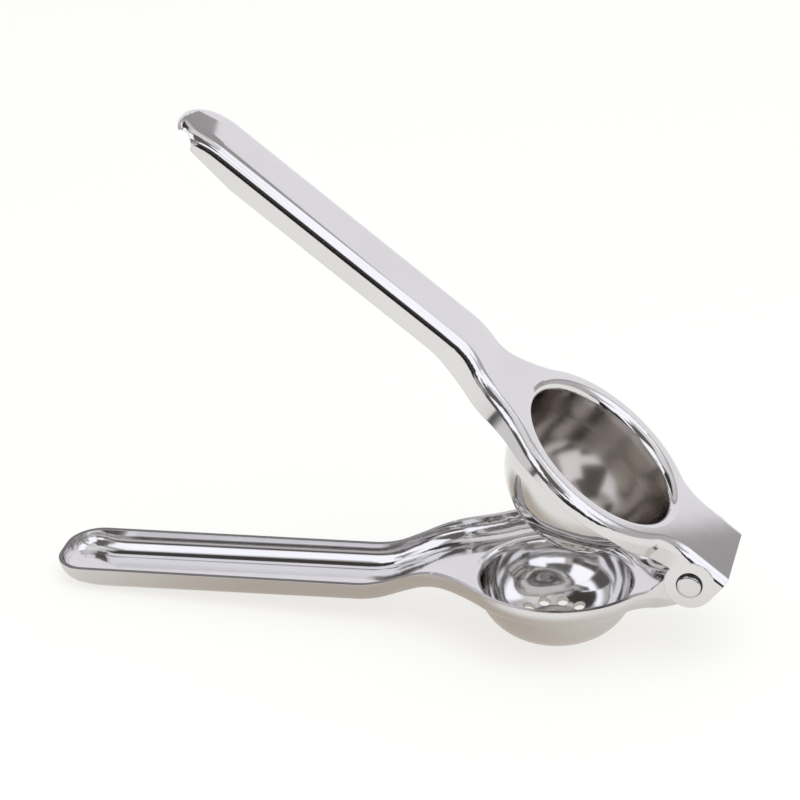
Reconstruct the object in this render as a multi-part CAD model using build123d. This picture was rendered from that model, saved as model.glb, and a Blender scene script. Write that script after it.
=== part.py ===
"""Hand lemon squeezer: two pressed sheet-steel levers on one riveted hinge.

Millimetres, +Z up. The bowl's axis is the Z axis and its flat foot stands on z = 0.
Both handles point to -X. The hinge pin lies at +X and runs along Y.
"""

import os
from math import cos, radians, sin, sqrt, tan

from build123d import *

# Both levers
sheet = 1.4
reach = 163.0
hinge_gap = 9.6
hinge_z = 30.0
open_angle = 37.5

# Hinge
pin_radius = 2.5
pin_seat_clearance = 0.02
pin_running_clearance = 0.06
head_radius = 4.1
head_height = 1.3
head_rounding = 1.2
ear_gap = 0.3

# Bowl lever, the lower one: a channel that is open upward
rim_radius = 32.5
rim_z = 24.6
wall_height = 7.8
wall_corner = 6.4
grip_half = 13.6
tip_corner = 10.5
neck_radius = 60.0
ear_half = 14.5
ear_neck_radius = 10.0
grip_pitch = 4.0
grip_tip_rise = 2.0
grip_tip_run = 14.0
rim_bend_gap = 3.5
grip_bend_run = 20.0
bend_radius = 30.0
floor_end = 11.0
ear_run = 13.0
ear_blend = 5.0

# Bowl and its drain holes
bowl_ledge = 0.3
bowl_lip = 2.2
bowl_draft = 4.0
foot_radius = 7.2
hole_radius = 1.9
inner_ring_radius = 5.4
inner_ring_count = 6
outer_ring_radius = 11.2
outer_ring_count = 12

# Press lever, the upper one: a channel that is open downward
cap_radius = 34.4
cap_top = 8.8
cap_corner = 3.0
cap_grip_half = 10.9
cap_tip_corner = 10.0
cap_neck_radius = 46.0
cap_ear_neck_radius = 14.0
cap_end = 7.8
cap_grip_rise = 4.1
cap_grip_bend_x = -52.0
cap_rim_bend_x = -42.0
cap_bend_radius = 26.0
tip_drop = 3.0
tip_run = 12.0
skirt_grip = 8.1
skirt_neck = 8.6
skirt_cup = 4.7
skirt_ear = 8.4
skirt_grip_x = -60.0
skirt_neck_x = -40.0
skirt_cup_half = 14.0
skirt_ear_x = 31.0
skirt_round = 20.0
tip_trim_run = 25.0
tip_trim_rise = 3.0
notch_radius = 3.9
notch_bearing = 58.0
notch_drop = 7.0

# Press cup
cup_ledge = 2.2
cup_lip = 2.8
cup_draft = 10.0
cup_depth = 33.0

# Lengths that only have to clear the part, and the least rise of a normal on a level face
beyond = 60.0
everything = 300.0
hair = 0.1
level = 0.8

# The pin stands clear of the wider rim, and each ear has room to turn inside or outside its mate
hinge_x = max(rim_radius, cap_radius) + hinge_gap
ear_radius = cap_top - cap_corner
cap_ear_half = ear_half + ear_gap + sheet
floor_z = rim_z - wall_height
rim_bend_x = -rim_radius - rim_bend_gap
grip_bend_x = rim_bend_x - grip_bend_run
bowl_mouth = rim_radius - wall_corner - bowl_ledge
cup_mouth = cap_radius - cap_corner - cup_ledge


def arc_about(centre, start, stop):
    """The shorter arc round a centre."""
    centre, start, stop = Vector(centre), Vector(start), Vector(stop)
    middle = ((start - centre) + (stop - centre)).normalized() * (start - centre).length
    return ThreePointArc(start, centre + middle, stop)


def outline(rim, grip, tip, neck, ear, ear_neck, end_x, inset=0.0):
    """Plan of a lever: round middle, straight grip with a blunt round tip, square hinge end."""
    neck_x = sqrt((rim + neck) ** 2 - (grip + neck) ** 2)
    ear_x = sqrt((rim + ear_neck) ** 2 - (ear + ear_neck) ** 2)
    tip_x, tip_y = tip - reach, grip - tip
    neck_centre = Vector(-neck_x, grip + neck)
    ear_centre = Vector(ear_x, ear + ear_neck)
    on_neck = neck_centre * ((rim - inset) / (rim + neck))
    on_ear = ear_centre * ((rim - inset) / (rim + ear_neck))
    grip_y, ear_y = grip - inset, ear - inset
    half = [
        Line((end_x, 0), (end_x, ear_y)),
        Line((end_x, ear_y), (ear_x, ear_y)),
        arc_about(ear_centre, (ear_x, ear_y), on_ear),
        arc_about((0, 0), on_ear, on_neck),
        arc_about(neck_centre, on_neck, (-neck_x, grip_y)),
        Line((-neck_x, grip_y), (tip_x, grip_y)),
        arc_about((tip_x, tip_y), (tip_x, grip_y), (inset - reach, tip_y)),
        Line((inset - reach, tip_y), (inset - reach, 0)),
    ]
    half_face = make_face(half + [Line((inset - reach, 0), (end_x, 0))])
    return half_face + mirror(half_face, about=Plane.XZ)


def across(side):
    """A side view, drawn as x and z, carried across the whole width."""
    return extrude(Plane.XZ * side, amount=everything, both=True)


def bent_line(corners, radius, offset=0.0):
    """One surface of a bent sheet in side view, moved off the drawn line by an offset."""
    runs = [(b - a).normalized() for a, b in zip(corners, corners[1:])]
    sides = [Vector(-run.Y, run.X) for run in runs]
    moved = [corners[0] + sides[0] * offset]
    radii = []
    for corner, one, two in zip(corners[1:-1], sides, sides[1:]):
        moved.append(corner + (one + two) * (offset / (1 + one.dot(two))))
        turns_left = one.cross(two).Z > 0
        radii.append(radius - offset if turns_left else radius + offset)
    moved.append(corners[-1] + sides[-1] * offset)
    return FilletPolyline(*moved, radius=radii)


def between(path, other):
    """The side view between two lines that run the same way."""
    ends = [Line(path @ 0, other @ 0), Line(path @ 1, other @ 1)]
    return make_face(path.edges() + other.edges() + ends)


def long_corner(solid, sign, end_x):
    """The edges that run round a lever between its face and its walls."""
    faces = [f for f in solid.faces() if sign * f.normal_at().Z > level]
    edges = [edge for face in faces for edge in face.edges()]
    once = [e for e in edges if sum(e.is_same(other) for other in edges) == 1]
    return [e for e in once if e.center().X < end_x - hair]


def channel(plan, side, sign, end_x, corner):
    """A filled channel: plan and side view crossed, with its long corner rounded."""
    block = extrude(plan, amount=everything, both=True) & across(side)
    return fillet(long_corner(block, sign, end_x), corner)


def bowl_lever_body():
    """The lower channel with its ears, before the bowl is drawn into its floor."""
    end_x = hinge_x + ear_radius
    foot_x = wall_corner - reach
    far_x = -reach - grip_tip_run
    slope = tan(radians(grip_pitch))
    grip = [Vector(x, (x - foot_x) * slope) for x in (far_x, grip_bend_x)]
    tip = [Vector(far_x, 2 * grip_tip_rise), Vector(grip_tip_run - reach, 0)]
    bowl = [Vector(rim_bend_x, floor_z), Vector(end_x, floor_z)]
    line = tip + grip[1:] + bowl
    sizes = (rim_radius, grip_half, tip_corner, neck_radius, ear_half, ear_neck_radius)
    plan = outline(*sizes, end_x)
    under = bent_line(line, bend_radius)
    rim = Pos(0, wall_height) * bent_line(grip + bowl, bend_radius)
    body = channel(plan, between(under, rim), -1, end_x, wall_corner)

    base_x, base_z = hinge_x - ear_run, floor_z + wall_corner
    floor_x = hinge_x - floor_end
    lobe = Pos(hinge_x, hinge_z) * Circle(ear_radius)
    base = Polyline((base_x, rim_z), (base_x, base_z), (floor_x, floor_z + sheet))
    hull = make_hull(lobe.edges() + base.edges())
    ear = hull & Pos(hinge_x, base_z) * Rectangle(everything, everything, align=(Align.CENTER, Align.MIN))
    ear += Pos(base_x, rim_z) * Rectangle(2 * ear_run, rim_z - base_z, align=(Align.CENTER, Align.MAX))
    ear = fillet(ear.vertices().sort_by_distance((base_x, rim_z))[0], ear_blend)
    body += extrude(plan, amount=everything, both=True) & across(ear)
    waste = Pos(floor_x, hinge_z) * Rectangle(everything, everything, align=(Align.MIN, Align.MAX))
    body -= across(waste - hull)

    open_line = line[:-1] + [Vector(end_x + beyond, floor_z)]
    above = bent_line(open_line, bend_radius, sheet)
    hollow = outline(*sizes, end_x + beyond / 2, sheet)
    room = between(above, Pos(0, everything / 2) * above)
    return body - channel(hollow, room, -1, end_x + beyond / 2, wall_corner - sheet)


def drawn_cup(mouth, lip, draft, top_z, floor_level, flat):
    """A cup drawn out of a flat sheet: rolled lip, leaning wall, round corner, flat floor."""
    lean = Vector(cos(radians(draft)), -sin(radians(draft)))
    lip_centre = Vector(mouth, top_z - lip)
    on_lip = lip_centre - lean * lip
    corner = ((on_lip.X - flat) * lean.X + (on_lip.Y - floor_level) * lean.Y) / (1 + lean.Y)
    centre = Vector(flat, floor_level + corner)
    surfaces = []
    for depth in (0, sheet):
        out, down = lean * depth, Vector(0, -depth)
        on_wall = centre + lean * corner + out
        on_floor = Vector(flat, floor_level) + down
        surfaces += [
            arc_about(lip_centre, Vector(mouth, top_z) + down, on_lip + out),
            Line(on_lip + out, on_wall),
            arc_about(centre, on_wall, on_floor),
        ]
        if flat > 0:
            surfaces.append(Line(on_floor, Vector(0, floor_level) + down))
    surfaces.append(Line((mouth, top_z), (mouth, top_z - sheet)))
    surfaces.append(Line((0, floor_level), (0, floor_level - sheet)))
    return revolve(Plane.XZ * make_face(surfaces), Axis.Z)


def pin_hole(clearance):
    """A hole along the hinge axis through both ears."""
    return Pos(hinge_x, 0, hinge_z) * Rot(90, 0, 0) * Cylinder(pin_radius + clearance, everything)


def bowl_lever():
    """The lower lever: channel, bowl with drain holes, and the inner pair of hinge ears."""
    bowl = drawn_cup(bowl_mouth, bowl_lip, bowl_draft, floor_z + sheet, sheet, foot_radius)
    lever = bowl_lever_body() - Cylinder(bowl_mouth, everything) + bowl
    rings = ((inner_ring_radius, inner_ring_count), (outer_ring_radius, outer_ring_count))
    for ring_radius, count in rings:
        places = PolarLocations(ring_radius, count)
        lever -= [place * Cylinder(hole_radius, floor_z) for place in places]
    return lever - pin_hole(pin_running_clearance)


def press_lever_body():
    """The upper channel with its ears in the closed position, before the cup is drawn."""
    top_z = hinge_z + cap_top
    grip_z = top_z + cap_grip_rise
    end_x = hinge_x + cap_end
    sizes = (
        cap_radius,
        cap_grip_half,
        cap_tip_corner,
        cap_neck_radius,
        cap_ear_half,
        cap_ear_neck_radius,
    )
    plan = outline(*sizes, end_x)
    tip_x = tip_run - reach
    line = [Vector(-reach - tip_run, grip_z - 2 * tip_drop), Vector(tip_x, grip_z)]
    line += [Vector(cap_grip_bend_x, grip_z), Vector(cap_rim_bend_x, top_z), Vector(end_x, top_z)]
    top = bent_line(line, cap_bend_radius)
    hem = FilletPolyline(
        (-reach - tip_run, grip_z - skirt_grip),
        (skirt_grip_x, grip_z - skirt_grip),
        (skirt_neck_x, top_z - skirt_neck),
        (-skirt_cup_half, top_z - skirt_cup),
        (skirt_cup_half, top_z - skirt_cup),
        (skirt_ear_x, top_z - skirt_ear),
        (end_x, top_z - skirt_ear),
        radius=skirt_round,
    )
    body = channel(plan, between(top, hem), 1, end_x, cap_corner)

    shoulder = Rectangle(2 * cap_end, cap_top - cap_corner, align=(Align.CENTER, Align.MIN))
    ear = Pos(hinge_x, hinge_z) * (Circle(cap_end) + shoulder)
    body += extrude(plan, amount=everything, both=True) & across(ear)

    open_line = line[:-1] + [Vector(end_x + beyond, top_z)]
    below = bent_line(open_line, cap_bend_radius, -sheet)
    hollow = outline(*sizes, end_x + beyond / 2, sheet)
    room = between(below, Pos(0, -everything / 2) * below)
    return body - channel(hollow, room, 1, end_x + beyond / 2, cap_corner - sheet)


def tip_trim(hem_z):
    """Material below the hem near the handle's end, where the skirt gets shallower."""
    slope = tip_trim_rise / tip_trim_run
    low = Vector(tip_trim_run - reach, hem_z)
    high = Vector(-reach - tip_run, hem_z + slope * (tip_run + tip_trim_run))
    return across(make_face(Polyline(low, high, Vector(high.X, hem_z - tip_run), low, close=True)))


def tip_notches(hem_z):
    """The round relief cut at each corner of the handle's end, square to the wall."""
    turn = radians(notch_bearing)
    x = cap_tip_corner * (1 - cos(turn)) - reach
    y = cap_grip_half - cap_tip_corner + cap_tip_corner * sin(turn)
    cutter = Rot(0, 0, -notch_bearing) * Rot(0, 90, 0) * Cylinder(notch_radius, cap_tip_corner)
    notch = Pos(x, y, hem_z) * cutter
    return notch + mirror(notch, about=Plane.XZ)


def press_lever():
    """The upper lever: channel, press cup, notched tip and the outer pair of hinge ears."""
    top_z = hinge_z + cap_top
    cup = drawn_cup(cup_mouth, cup_lip, cup_draft, top_z, top_z - cup_depth + sheet, 0)
    lever = press_lever_body() - Cylinder(cup_mouth, everything) + cup
    lever -= tip_trim(top_z + cap_grip_rise - skirt_grip)
    lever -= tip_notches(top_z + cap_grip_rise - notch_drop)
    return lever - pin_hole(pin_seat_clearance)


def hinge_pin():
    """The rivet: one shank through all four ears and a low round head on each side."""
    half = cap_ear_half
    shank = Cylinder(pin_radius, 2 * half)
    head = Cylinder(head_radius, head_height, align=(Align.CENTER, Align.CENTER, Align.MIN))
    head = Pos(0, 0, half) * fillet(head.edges().sort_by(Axis.Z)[-1], head_rounding)
    rivet = shank + head + mirror(head, about=Plane.XY)
    return Pos(hinge_x, 0, hinge_z) * Rot(90, 0, 0) * rivet


os.makedirs("parts", exist_ok=True)
hinge = Axis((hinge_x, 0, hinge_z), (0, 1, 0))
pieces = {
    "bowl_lever": bowl_lever(),
    "press_lever": press_lever().rotate(hinge, open_angle),
    "hinge_pin": hinge_pin(),
}
for name, piece in pieces.items():
    export_step(piece, f"parts/{name}.step")
    print(name, round(piece.volume), "mm3", len(piece.solids()), "solid")
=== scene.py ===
"""Lemon squeezer of polished steel sheet: finish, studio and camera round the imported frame.

Metres and degrees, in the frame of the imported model: +X to the hinge, +Y along its pin, +Z up.
"""

from math import cos, degrees, pi, radians, sin

import bpy
from mathutils import Matrix, Vector

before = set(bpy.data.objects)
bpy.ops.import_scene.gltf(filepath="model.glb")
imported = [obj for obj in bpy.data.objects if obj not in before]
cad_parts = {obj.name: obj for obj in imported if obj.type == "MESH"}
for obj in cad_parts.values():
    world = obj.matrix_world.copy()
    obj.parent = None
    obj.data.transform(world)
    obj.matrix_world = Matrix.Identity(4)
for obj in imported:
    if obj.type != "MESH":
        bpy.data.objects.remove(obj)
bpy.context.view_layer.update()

# Camera: direction, aim and lens of the photograph
CAMERA_YAW = 14.42
CAMERA_PITCH = 27.88
CAMERA_ROLL = -0.9
CAMERA_AIM = Vector((-0.0494, 0.0, 0.0743))
CAMERA_DISTANCE = 0.9193
CAMERA_LENS_MM = 135.0
CAMERA_SENSOR_MM = 36.0

# Studio: a round floor with light of its own, the share of its look that is lit and shaded by
# the lamp and the sky, and their strengths
FLOOR_RADIUS = 8.0
FLOOR_STEPS = 64
FLOOR_HEIGHT = -0.0001
FLOOR_GLOW = (1.0, 0.985, 0.957)
FLOOR_COLOUR = (0.88, 0.91, 0.92)
MATT_ROUGHNESS = 0.9
SHADOW_SHARE = 0.27
FILL_LEVEL = 0.85
KEY_PLACE = Vector((0.25, -0.35, 1.3))
KEY_SIZE = 1.2
KEY_RADIANCE = 2.1

# Polished steel: its colour, its roughness and the height of its waves
LEVER_COLOUR = (0.72, 0.71, 0.71)
BOWL_LEVER_ROUGHNESS = 0.1
PRESS_LEVER_ROUGHNESS = 0.06
LEVER_WAVES = 0.00002
RIVET_COLOUR = (0.68, 0.67, 0.67)
RIVET_ROUGHNESS = 0.06
RIVET_WAVES = 0.00001

# Its texture: cloudiness in the colour, buffing lines in the roughness, waves, deburred edges
CLOUD_SCALE = 45.0
CLOUD_DETAIL = 3.0
CLOUD_RANGE = (0.3, 0.7)
CLOUD_SHADE = 0.965
BUFFING_SCALE = (60, 1400, 1400)
BUFFING_DETAIL = 2.0
BUFFING_SPREAD = (0.6, 1.4)
WAVE_SCALE = 90.0
WAVE_DETAIL = 1.0
EDGE_ROUNDING = 0.0003
EDGE_SAMPLES = 4

# The bowl lever's rim, a sheared edge that is duller, painted near black as a dark reflection,
# less so along the bowl. Its height over the table along x: the handle's and the bend's line as a
# place, a height and a slope, and the bowl's
RIM_ON_HANDLE = (-0.1566, 0.0078, 0.07)
RIM_ON_BEND = (-0.056, 0.0149, 0.487)
RIM_ON_BOWL = 0.0246
RIM_REACH = (0.0006, 0.001)
RIM_FACES_UP = (0.8, 0.9)
RIM_CLEARS = (-0.05, -0.02)
RIM_CLEARED = 0.65
# Near black: partly a duller sheared edge, partly a painted dark reflection
RIM_DULL_AND_DARK_COLOUR = (0.17, 0.165, 0.16)
RIM_ROUGHNESS = 0.24
RIM_GRAIN = 0.12
RIM_GRAIN_SCALE = 2500.0
RIM_GRAIN_DETAIL = 1.0

# The press handle's top falls away slightly towards its sides, from some way along the handle
CROWN_ALONG = Vector((-0.7934, 0.0, 0.6088))
CROWN_STARTS = (0.07, 0.09)
CROWN_FLAT_HALF = 0.0043
CROWN_RADIUS = 0.035

# The inside of the press cup, which is left satin, but for its bottom; its darker colour is
# painted shade in the hollow
CUP_CENTRE = (0.01065, 0.0, 0.05882)
CUP_SKIN = (0.0259, 0.0265)
CUP_SHADED_COLOUR = (0.47, 0.435, 0.41)
CUP_ROUGHNESS = 0.19
CUP_BOTTOM = (-0.0052, 0.0, 0.0382)
CUP_BOTTOM_ROUGHNESS = 0.08
CUP_BOTTOM_REACH = (0.012, 0.024)

# The foot of the rivet's heads, painted near black as shade where they meet the levers: its axis
# and distances from it
SEAT_AXIS = (0.044, 0.0, 0.03)
SEAT_REACH = (0.0035, 0.0038)
SEAT_SHADE_COLOUR = (0.05, 0.048, 0.047)
SEAT_ROUGHNESS = 0.3

# A pale screen behind the squeezer and a dark mat in front of it; only the steel mirrors them
SHEET_HEIGHT = 0.0005
SCREEN_Y = 0.5
SCREEN_LEFT = -1.4
SCREEN_RIGHT = 0.318
SCREEN_FADE = 0.018
SCREEN_TOP = 0.42
SCREEN_COLOUR = (0.97, 0.96, 1.0)
MAT_CORNERS = (
    (-0.6, -0.78),
    (-0.25, -0.46),
    (0.0, -0.27),
    (0.15, -0.22),
    (0.5, -0.5),
    (6.0, -4.4),
    (1.2, -7.0),
    (-2.2, -7.0),
)
MAT_COLOUR = (0.02, 0.018, 0.018)

# A painted shadow: the dimmer, warmer ground close to the squeezer, as the steel mirrors it, drawn
# as a glowing sheet: where it ends on the left and right and at both sides, and how softly
GROUND_HEIGHT = 0.00005
GROUND_SHADOW_COLOUR = (0.56, 0.505, 0.44)
GROUND_LEFT = -0.15
GROUND_RIGHT = 0.03
GROUND_FADE = 0.06
GROUND_HALF = 0.03
GROUND_EDGE = 0.04

# What the steel mirrors beyond them, each over the one before: colour, azimuth range (0 at +X,
# 90 at the back), elevation range, softness
FAR = (0.55, 0.54, 0.55)
SOFT_BOX = (1.31, 1.32, 1.42)
CEILING = (0.9, 0.9, 0.9)
SIDE_WALL = (0.8, 0.79, 0.79)
BACK_HIGH = (0.7, 0.69, 0.69)
WALL_GREY = (0.48, 0.45, 0.46)
HINGE_GREY = (0.43, 0.42, 0.42)
BACK_LOW = (0.4, 0.39, 0.39)
ROOM_SHADE = (0.15, 0.142, 0.138)
ROOM_DUSK = (0.12, 0.11, 0.11)
ROOM_DARK = (0.06, 0.055, 0.052)
CARDS = (
    (SIDE_WALL, (-190, -148), (-30, 12), 5),
    (ROOM_DUSK, (-148, -118), (-14, 25), 4),
    (WALL_GREY, (-118, -104), (-30, 12), 3),
    (ROOM_DUSK, (-118, -104), (12, 24), 2),
    (SOFT_BOX, (-148, -107), (26, 64), 2),
    (ROOM_DUSK, (-190, -148), (12, 40), 5),
    (SOFT_BOX, (-190, -148), (42, 64), 4),
    (SOFT_BOX, (140, 190), (35, 58), 6),
    (BACK_HIGH, (60, 140), (40, 75), 6),
    (BACK_LOW, (60, 125), (24, 40), 4),
    (HINGE_GREY, (45, 78), (-2, 24), 4),
    (ROOM_DARK, (117, 190), (44, 74), 3),
    (ROOM_DARK, (-190, -165), (64, 74), 3),
    (ROOM_DARK, (-103, -64), (-30, 15), 2),
    (SOFT_BOX, (-62, -30), (8, 46), 3),
    (ROOM_DARK, (-64, -22), (-4, 5), 2),
    (SOFT_BOX, (-34, -15), (33, 52), 5),
    (SOFT_BOX, (-15, 51), (26, 55), 6),
    (CEILING, (-43, 88), (55, 91), 6),
    (ROOM_SHADE, (-106, -62), (29, 78), 3),
    (ROOM_SHADE, (-62, -46), (47, 78), 3),
    (SOFT_BOX, (-92, -60), (16, 28), 2),
    (CEILING, (-190, 190), (79, 91), 5),
)

# Sockets of a Mix node, whose names are the same for numbers and colours
MIX_NUMBERS = (2, 3, 0)
MIX_COLOURS = (6, 7, 2)


def node(tree, kind, **settings):
    """A new node with its properties set, and its inputs where the name is an input's."""
    made = tree.nodes.new(kind)
    for name, value in settings.items():
        if hasattr(made, name):
            setattr(made, name, value)
        else:
            made.inputs[name].default_value = value
    return made


def feed(tree, target, value):
    """Links a socket to an input, or sets the input to a value."""
    if isinstance(value, bpy.types.NodeSocket):
        tree.links.new(value, target)
    else:
        target.default_value = value


def solid(colour):
    """A colour with full alpha."""
    return (*colour, 1)


def calc(tree, operation, first, second=None, clamp=False):
    """A Math node on sockets or numbers."""
    made = node(tree, "ShaderNodeMath", operation=operation, use_clamp=clamp)
    feed(tree, made.inputs[0], first)
    if second is not None:
        feed(tree, made.inputs[1], second)
    return made.outputs[0]


def vector_calc(tree, operation, first, second):
    """The outputs of a Vector Math node on a socket and a fixed vector."""
    made = node(tree, "ShaderNodeVectorMath", operation=operation)
    tree.links.new(first, made.inputs[0])
    made.inputs[1].default_value = second
    return made.outputs


def axes(tree, vector):
    """The X, Y and Z of a vector."""
    made = node(tree, "ShaderNodeSeparateXYZ")
    tree.links.new(vector, made.inputs[0])
    return made.outputs


def noise(tree, place, scale, detail):
    """A noise on a place, near 0.5."""
    made = node(tree, "ShaderNodeTexNoise", Scale=scale, Detail=detail)
    tree.links.new(place, made.inputs["Vector"])
    return made.outputs["Fac"]


def ramp_up(tree, value, start, stop):
    """0 below start, 1 above stop, smooth between."""
    made = node(tree, "ShaderNodeMapRange", interpolation_type="SMOOTHSTEP")
    tree.links.new(value, made.inputs["Value"])
    made.inputs["From Min"].default_value = start
    made.inputs["From Max"].default_value = stop
    return made.outputs["Result"]


def within(tree, value, low, high, soft):
    """1 inside a range of a value, falling to 0 over the softness on both sides of its ends."""
    rise = ramp_up(tree, value, low - soft, low + soft)
    fall = ramp_up(tree, value, high - soft, high + soft)
    return calc(tree, "SUBTRACT", rise, fall, clamp=True)


def blended(tree, kind, sockets, factor, first, second):
    """One value or another by a factor; each value is a socket or fixed."""
    made = node(tree, "ShaderNodeMix", data_type=kind)
    tree.links.new(factor, made.inputs["Factor"])
    feed(tree, made.inputs[sockets[0]], first)
    feed(tree, made.inputs[sockets[1]], second)
    return made.outputs[sockets[2]]


def blended_number(tree, factor, first, second):
    """One number or another by a factor."""
    return blended(tree, "FLOAT", MIX_NUMBERS, factor, first, second)


def blended_colour(tree, factor, first, second):
    """One colour or another by a factor."""
    return blended(tree, "RGBA", MIX_COLOURS, factor, first, second)


def blended_shader(tree, factor, first, second):
    """One shader's output or another by a factor."""
    made = node(tree, "ShaderNodeMixShader")
    for target, value in zip(made.inputs, (factor, first, second)):
        tree.links.new(value, target)
    return made.outputs[0]


def studio_world():
    """Even light for matt surfaces; for the steel, light and dark cards all round it."""
    world = bpy.data.worlds.new("studio")
    world.use_nodes = True
    tree = world.node_tree
    tree.nodes.clear()
    direction = axes(tree, node(tree, "ShaderNodeTexCoord").outputs["Generated"])
    azimuth = calc(tree, "ARCTAN2", direction["Y"], direction["X"])
    azimuth = calc(tree, "MULTIPLY", azimuth, degrees(1))
    elevation = calc(tree, "ARCSINE", direction["Z"])
    elevation = calc(tree, "MULTIPLY", elevation, degrees(1))

    seen = solid(FAR)
    for colour, sides, heights, soft in CARDS:
        beside = within(tree, azimuth, *sides, soft)
        above = within(tree, elevation, *heights, soft)
        mask = calc(tree, "MULTIPLY", beside, above)
        seen = blended_colour(tree, mask, seen, solid(colour))

    white = solid((1, 1, 1))
    fill = node(tree, "ShaderNodeBackground", Color=white, Strength=FILL_LEVEL)
    backdrop = node(tree, "ShaderNodeBackground", Color=white, Strength=1.0)
    cards = node(tree, "ShaderNodeBackground", Strength=1.0)
    tree.links.new(seen, cards.inputs["Color"])
    ray = node(tree, "ShaderNodeLightPath").outputs
    mirrored = calc(tree, "MAXIMUM", ray["Is Glossy Ray"], ray["Is Transmission Ray"])
    light = blended_shader(tree, mirrored, fill.outputs[0], cards.outputs[0])
    light = blended_shader(tree, ray["Is Camera Ray"], light, backdrop.outputs[0])
    out = node(tree, "ShaderNodeOutputWorld")
    tree.links.new(light, out.inputs["Surface"])
    bpy.context.scene.world = world


def flat_material(name, colour):
    """A matt material without gloss, for the floor and the dark mat."""
    material = bpy.data.materials.new(name)
    material.use_nodes = True
    shader = material.node_tree.nodes["Principled BSDF"]
    shader.inputs["Base Color"].default_value = solid(colour)
    shader.inputs["Roughness"].default_value = MATT_ROUGHNESS
    shader.inputs["Specular IOR Level"].default_value = 0.0
    return material


def floor_material():
    """White paper, partly with light of its own, so that it stays white far off and mirrored."""
    material = flat_material("floor_white", FLOOR_COLOUR)
    tree = material.node_tree
    shader = tree.nodes["Principled BSDF"]
    ray = node(tree, "ShaderNodeLightPath").outputs
    seen = calc(tree, "MAXIMUM", ray["Is Camera Ray"], ray["Is Glossy Ray"])
    seen = calc(tree, "MAXIMUM", seen, ray["Is Transmission Ray"])
    glow = node(tree, "ShaderNodeEmission", Color=solid(FLOOR_GLOW), Strength=1.0)
    share = calc(tree, "MULTIPLY", seen, 1 - SHADOW_SHARE)
    surface = blended_shader(tree, share, shader.outputs[0], glow.outputs[0])
    tree.links.new(surface, tree.nodes["Material Output"].inputs["Surface"])
    return material


def glowing_paper(name, colour, fade=None):
    """Paper with its own light, clear where the fade is 1; the fade is made on its coordinates."""
    material = bpy.data.materials.new(name)
    material.use_nodes = True
    tree = material.node_tree
    tree.nodes.clear()
    surface = node(tree, "ShaderNodeEmission", Color=solid(colour), Strength=1.0).outputs[0]
    if fade:
        place = axes(tree, node(tree, "ShaderNodeTexCoord").outputs["Object"])
        clear = node(tree, "ShaderNodeBsdfTransparent").outputs[0]
        surface = blended_shader(tree, fade(tree, place), surface, clear)
    out = node(tree, "ShaderNodeOutputMaterial")
    tree.links.new(surface, out.inputs["Surface"])
    return material


def screen_fade(tree, place):
    """The screen fades out towards its right edge."""
    return ramp_up(tree, place["X"], SCREEN_RIGHT - SCREEN_FADE, SCREEN_RIGHT)


def ground_fade(tree, place):
    """The painted shadow of the dim ground fades out on all sides."""
    along = within(tree, place["X"], GROUND_LEFT, GROUND_RIGHT, GROUND_FADE)
    off = calc(tree, "ABSOLUTE", place["Y"])
    across = ramp_up(tree, off, GROUND_HALF, GROUND_HALF + GROUND_EDGE)
    across = calc(tree, "SUBTRACT", 1.0, across)
    return calc(tree, "SUBTRACT", 1.0, calc(tree, "MULTIPLY", along, across))


def rectangle(left, right, low, high):
    """Corners of a rectangle, in order round it."""
    return [(left, low), (right, low), (right, high), (left, high)]


def level(corners, height):
    """Flat corners at a height over the table."""
    return [(x, y, height) for x, y in corners]


def studio_sheet(name, corners, material):
    """A flat polygon as a piece of the studio."""
    mesh = bpy.data.meshes.new(name)
    mesh.from_pydata(corners, [], [range(len(corners))])
    mesh.materials.append(material)
    made = bpy.data.objects.new(name, mesh)
    bpy.context.scene.collection.objects.link(made)
    return made


def mirrored_sheet(name, corners, material):
    """A studio sheet that stays out of the picture and out of the light."""
    made = studio_sheet(name, corners, material)
    made.visible_camera = False
    made.visible_diffuse = False
    made.visible_shadow = False


def add_floor():
    """A wide white table, and the mat, screen and dim grounds, one a painted shadow, that only the
    steel mirrors.
    """
    turn = [radians(360 * step / FLOOR_STEPS) for step in range(FLOOR_STEPS)]
    ring = [(FLOOR_RADIUS * cos(a), FLOOR_RADIUS * sin(a)) for a in turn]
    studio_sheet("floor", level(ring, FLOOR_HEIGHT), floor_material())

    mat = flat_material("mat_dark", MAT_COLOUR)
    mirrored_sheet("dark_mat", level(MAT_CORNERS, SHEET_HEIGHT), mat)

    screen = glowing_paper("screen_pale", SCREEN_COLOUR, screen_fade)
    corners = rectangle(SCREEN_LEFT, SCREEN_RIGHT, 0.0, SCREEN_TOP)
    mirrored_sheet("screen", [(x, SCREEN_Y, z) for x, z in corners], screen)

    behind = glowing_paper("behind_grey", FAR)
    corners = rectangle(-FLOOR_RADIUS, FLOOR_RADIUS, SCREEN_Y, FLOOR_RADIUS)
    mirrored_sheet("behind", level(corners, SHEET_HEIGHT), behind)

    # A glowing sheet as painted shadow: the dimmer, warmer ground near the squeezer as the steel
    # mirrors it
    ground = glowing_paper("ground_painted_shadow", GROUND_SHADOW_COLOUR, ground_fade)
    reach = GROUND_HALF + GROUND_EDGE
    corners = rectangle(GROUND_LEFT - GROUND_FADE, GROUND_RIGHT + GROUND_FADE, -reach, reach)
    mirrored_sheet("ground", level(corners, GROUND_HEIGHT), ground)


def add_key():
    """One large soft box overhead."""
    lamp = bpy.data.lights.new("key", "AREA")
    lamp.shape = "SQUARE"
    lamp.size = KEY_SIZE
    lamp.energy = KEY_RADIANCE * pi * KEY_SIZE ** 2
    made = bpy.data.objects.new("key", lamp)
    made.location = KEY_PLACE
    made.rotation_euler = (CAMERA_AIM - KEY_PLACE).to_track_quat("-Z", "Y").to_euler()
    made.visible_glossy = False
    bpy.context.scene.collection.objects.link(made)


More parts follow.
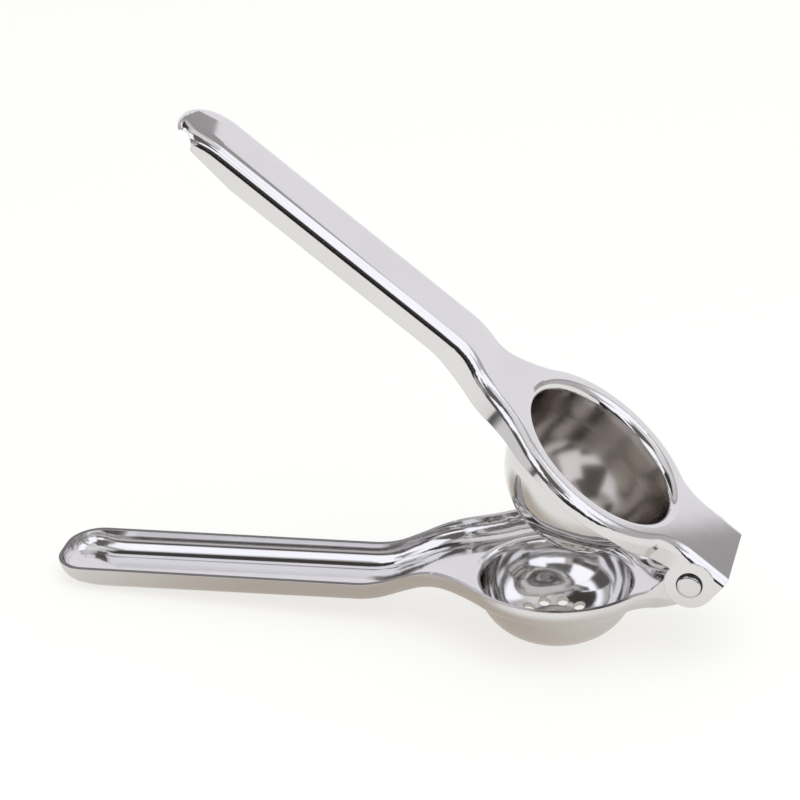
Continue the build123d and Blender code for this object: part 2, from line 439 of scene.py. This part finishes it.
def add_camera():
    """The photograph's view."""
    yaw, pitch, roll = (radians(a) for a in (CAMERA_YAW, CAMERA_PITCH, CAMERA_ROLL))
    back = Vector((sin(yaw) * cos(pitch), -cos(yaw) * cos(pitch), sin(pitch)))
    right = Vector((cos(yaw), sin(yaw), 0))
    up = back.cross(right)
    turned_right = right * cos(roll) + up * sin(roll)
    turned_up = up * cos(roll) - right * sin(roll)
    turn = Matrix((turned_right, turned_up, back)).transposed().to_4x4()
    data = bpy.data.cameras.new("camera")
    data.lens = CAMERA_LENS_MM
    data.sensor_width = CAMERA_SENSOR_MM
    made = bpy.data.objects.new("camera", data)
    made.matrix_world = Matrix.Translation(CAMERA_AIM + back * CAMERA_DISTANCE) @ turn
    bpy.context.scene.collection.objects.link(made)
    bpy.context.scene.camera = made


def on_rim(tree, place):
    """1 on the bowl lever's rim, which faces up at the height of its wall; less on the bowl."""
    at = axes(tree, place)
    lines = []
    for start, height, slope in (RIM_ON_HANDLE, RIM_ON_BEND):
        rise = calc(tree, "MULTIPLY", calc(tree, "SUBTRACT", at["X"], start), slope)
        lines.append(calc(tree, "ADD", rise, height))
    top = calc(tree, "MINIMUM", calc(tree, "MAXIMUM", *lines), RIM_ON_BOWL)
    away = calc(tree, "ABSOLUTE", calc(tree, "SUBTRACT", at["Z"], top))
    near = calc(tree, "SUBTRACT", 1.0, ramp_up(tree, away, *RIM_REACH))
    facing = axes(tree, node(tree, "ShaderNodeTexCoord").outputs["Normal"])
    rim = calc(tree, "MULTIPLY", near, ramp_up(tree, facing["Z"], *RIM_FACES_UP))
    cleared = calc(tree, "MULTIPLY", ramp_up(tree, at["X"], *RIM_CLEARS), RIM_CLEARED)
    return calc(tree, "MULTIPLY", rim, calc(tree, "SUBTRACT", 1.0, cleared))


def sheared_rim_painted_dark(tree, place):
    """Mask, colour and roughness of the bowl lever's rim, which has a fine grain; its near-black
    colour is partly a duller edge, partly a painted dark reflection.
    """
    grain = noise(tree, place, RIM_GRAIN_SCALE, RIM_GRAIN_DETAIL)
    haze = calc(tree, "ADD", calc(tree, "MULTIPLY", grain, RIM_GRAIN), RIM_ROUGHNESS)
    return on_rim(tree, place), solid(RIM_DULL_AND_DARK_COLOUR), haze


def satin_and_shaded_cup(tree, place):
    """Mask, colour and roughness of the press cup's inner skin, smoother at its bottom; the darker
    colour is painted shade.
    """
    radius = vector_calc(tree, "DISTANCE", place, CUP_CENTRE)["Value"]
    inside = calc(tree, "SUBTRACT", 1.0, ramp_up(tree, radius, *CUP_SKIN))
    climb = vector_calc(tree, "DISTANCE", place, CUP_BOTTOM)["Value"]
    wall = ramp_up(tree, climb, *CUP_BOTTOM_REACH)
    rise = calc(tree, "MULTIPLY", wall, CUP_ROUGHNESS - CUP_BOTTOM_ROUGHNESS)
    haze = calc(tree, "ADD", rise, CUP_BOTTOM_ROUGHNESS)
    return inside, solid(CUP_SHADED_COLOUR), haze


def rivet_seat_shade(tree, place):
    """Mask, colour and roughness of the foot of the rivet's heads, whose near-black colour is
    painted shade.
    """
    across = vector_calc(tree, "MULTIPLY", place, (1, 0, 1))["Vector"]
    radius = vector_calc(tree, "DISTANCE", across, SEAT_AXIS)["Value"]
    return ramp_up(tree, radius, *SEAT_REACH), solid(SEAT_SHADE_COLOUR), SEAT_ROUGHNESS


def crown(tree, place):
    """How far the press handle's top lies below a plane, in metres, as a negative height."""
    along = vector_calc(tree, "DOT_PRODUCT", place, CROWN_ALONG)["Value"]
    on_handle = ramp_up(tree, along, *CROWN_STARTS)
    side = calc(tree, "ABSOLUTE", axes(tree, place)["Y"])
    off = calc(tree, "MAXIMUM", calc(tree, "SUBTRACT", side, CROWN_FLAT_HALF), 0.0)
    square = calc(tree, "MULTIPLY", off, off)
    fall = calc(tree, "MULTIPLY", square, -1 / (2 * CROWN_RADIUS))
    return calc(tree, "MULTIPLY", fall, on_handle)


def polished_steel(name, colour, roughness, waves, dull_and_painted_dark, form=None):
    """Mirror-polished sheet: faint cloudiness, buffing lines along the lever, slight waves.

    dull gives the mask, colour and roughness of a duller place, whose darker colour is painted
    shade and dark reflection; form gives a height.
    """
    material = bpy.data.materials.new(name)
    material.use_nodes = True
    tree = material.node_tree
    shader = tree.nodes["Principled BSDF"]
    shader.inputs["Metallic"].default_value = 1.0
    place = node(tree, "ShaderNodeTexCoord").outputs["Object"]

    tint = node(tree, "ShaderNodeValToRGB")
    shades = ([CLOUD_SHADE * c for c in colour], colour)
    for stop, position, shade in zip(tint.color_ramp.elements, CLOUD_RANGE, shades):
        stop.position = position
        stop.color = solid(shade)
    tree.links.new(noise(tree, place, CLOUD_SCALE, CLOUD_DETAIL), tint.inputs[0])

    stretch = node(tree, "ShaderNodeMapping", Scale=BUFFING_SCALE)
    tree.links.new(place, stretch.inputs["Vector"])
    buffing = node(tree, "ShaderNodeMapRange")
    buffing.inputs["To Min"].default_value = BUFFING_SPREAD[0] * roughness
    buffing.inputs["To Max"].default_value = BUFFING_SPREAD[1] * roughness
    lines = noise(tree, stretch.outputs[0], 1.0, BUFFING_DETAIL)
    tree.links.new(lines, buffing.inputs["Value"])

    mask, dull_and_painted_colour, dull_haze = dull_and_painted_dark(tree, place)
    skin = blended_colour(tree, mask, tint.outputs[0], dull_and_painted_colour)
    haze = blended_number(tree, mask, buffing.outputs["Result"], dull_haze)
    tree.links.new(skin, shader.inputs["Base Color"])
    tree.links.new(haze, shader.inputs["Roughness"])

    height = calc(tree, "MULTIPLY", noise(tree, place, WAVE_SCALE, WAVE_DETAIL), waves)
    if form:
        height = calc(tree, "ADD", height, form(tree, place))
    edge = node(tree, "ShaderNodeBevel", samples=EDGE_SAMPLES, Radius=EDGE_ROUNDING)
    bump = node(tree, "ShaderNodeBump", Strength=1.0, Distance=1.0)
    tree.links.new(edge.outputs[0], bump.inputs["Normal"])
    tree.links.new(height, bump.inputs["Height"])
    tree.links.new(bump.outputs[0], shader.inputs["Normal"])
    return material


def dress(name, material):
    """Gives a CAD node its finish."""
    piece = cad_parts[name]
    piece.data.materials.clear()
    piece.data.materials.append(material)


bpy.context.scene.view_settings.view_transform = "Standard"
studio_world()
add_floor()
add_key()
add_camera()

bowl_lever_steel = polished_steel(
    "bowl_lever_steel", LEVER_COLOUR, BOWL_LEVER_ROUGHNESS, LEVER_WAVES, sheared_rim_painted_dark
)
press_lever_steel = polished_steel(
    "press_lever_steel", LEVER_COLOUR, PRESS_LEVER_ROUGHNESS, LEVER_WAVES, satin_and_shaded_cup, crown
)
rivet_steel = polished_steel(
    "rivet_steel", RIVET_COLOUR, RIVET_ROUGHNESS, RIVET_WAVES, rivet_seat_shade
)
dress("bowl_lever", bowl_lever_steel)
dress("press_lever", press_lever_steel)
dress("hinge_pin", rivet_steel)
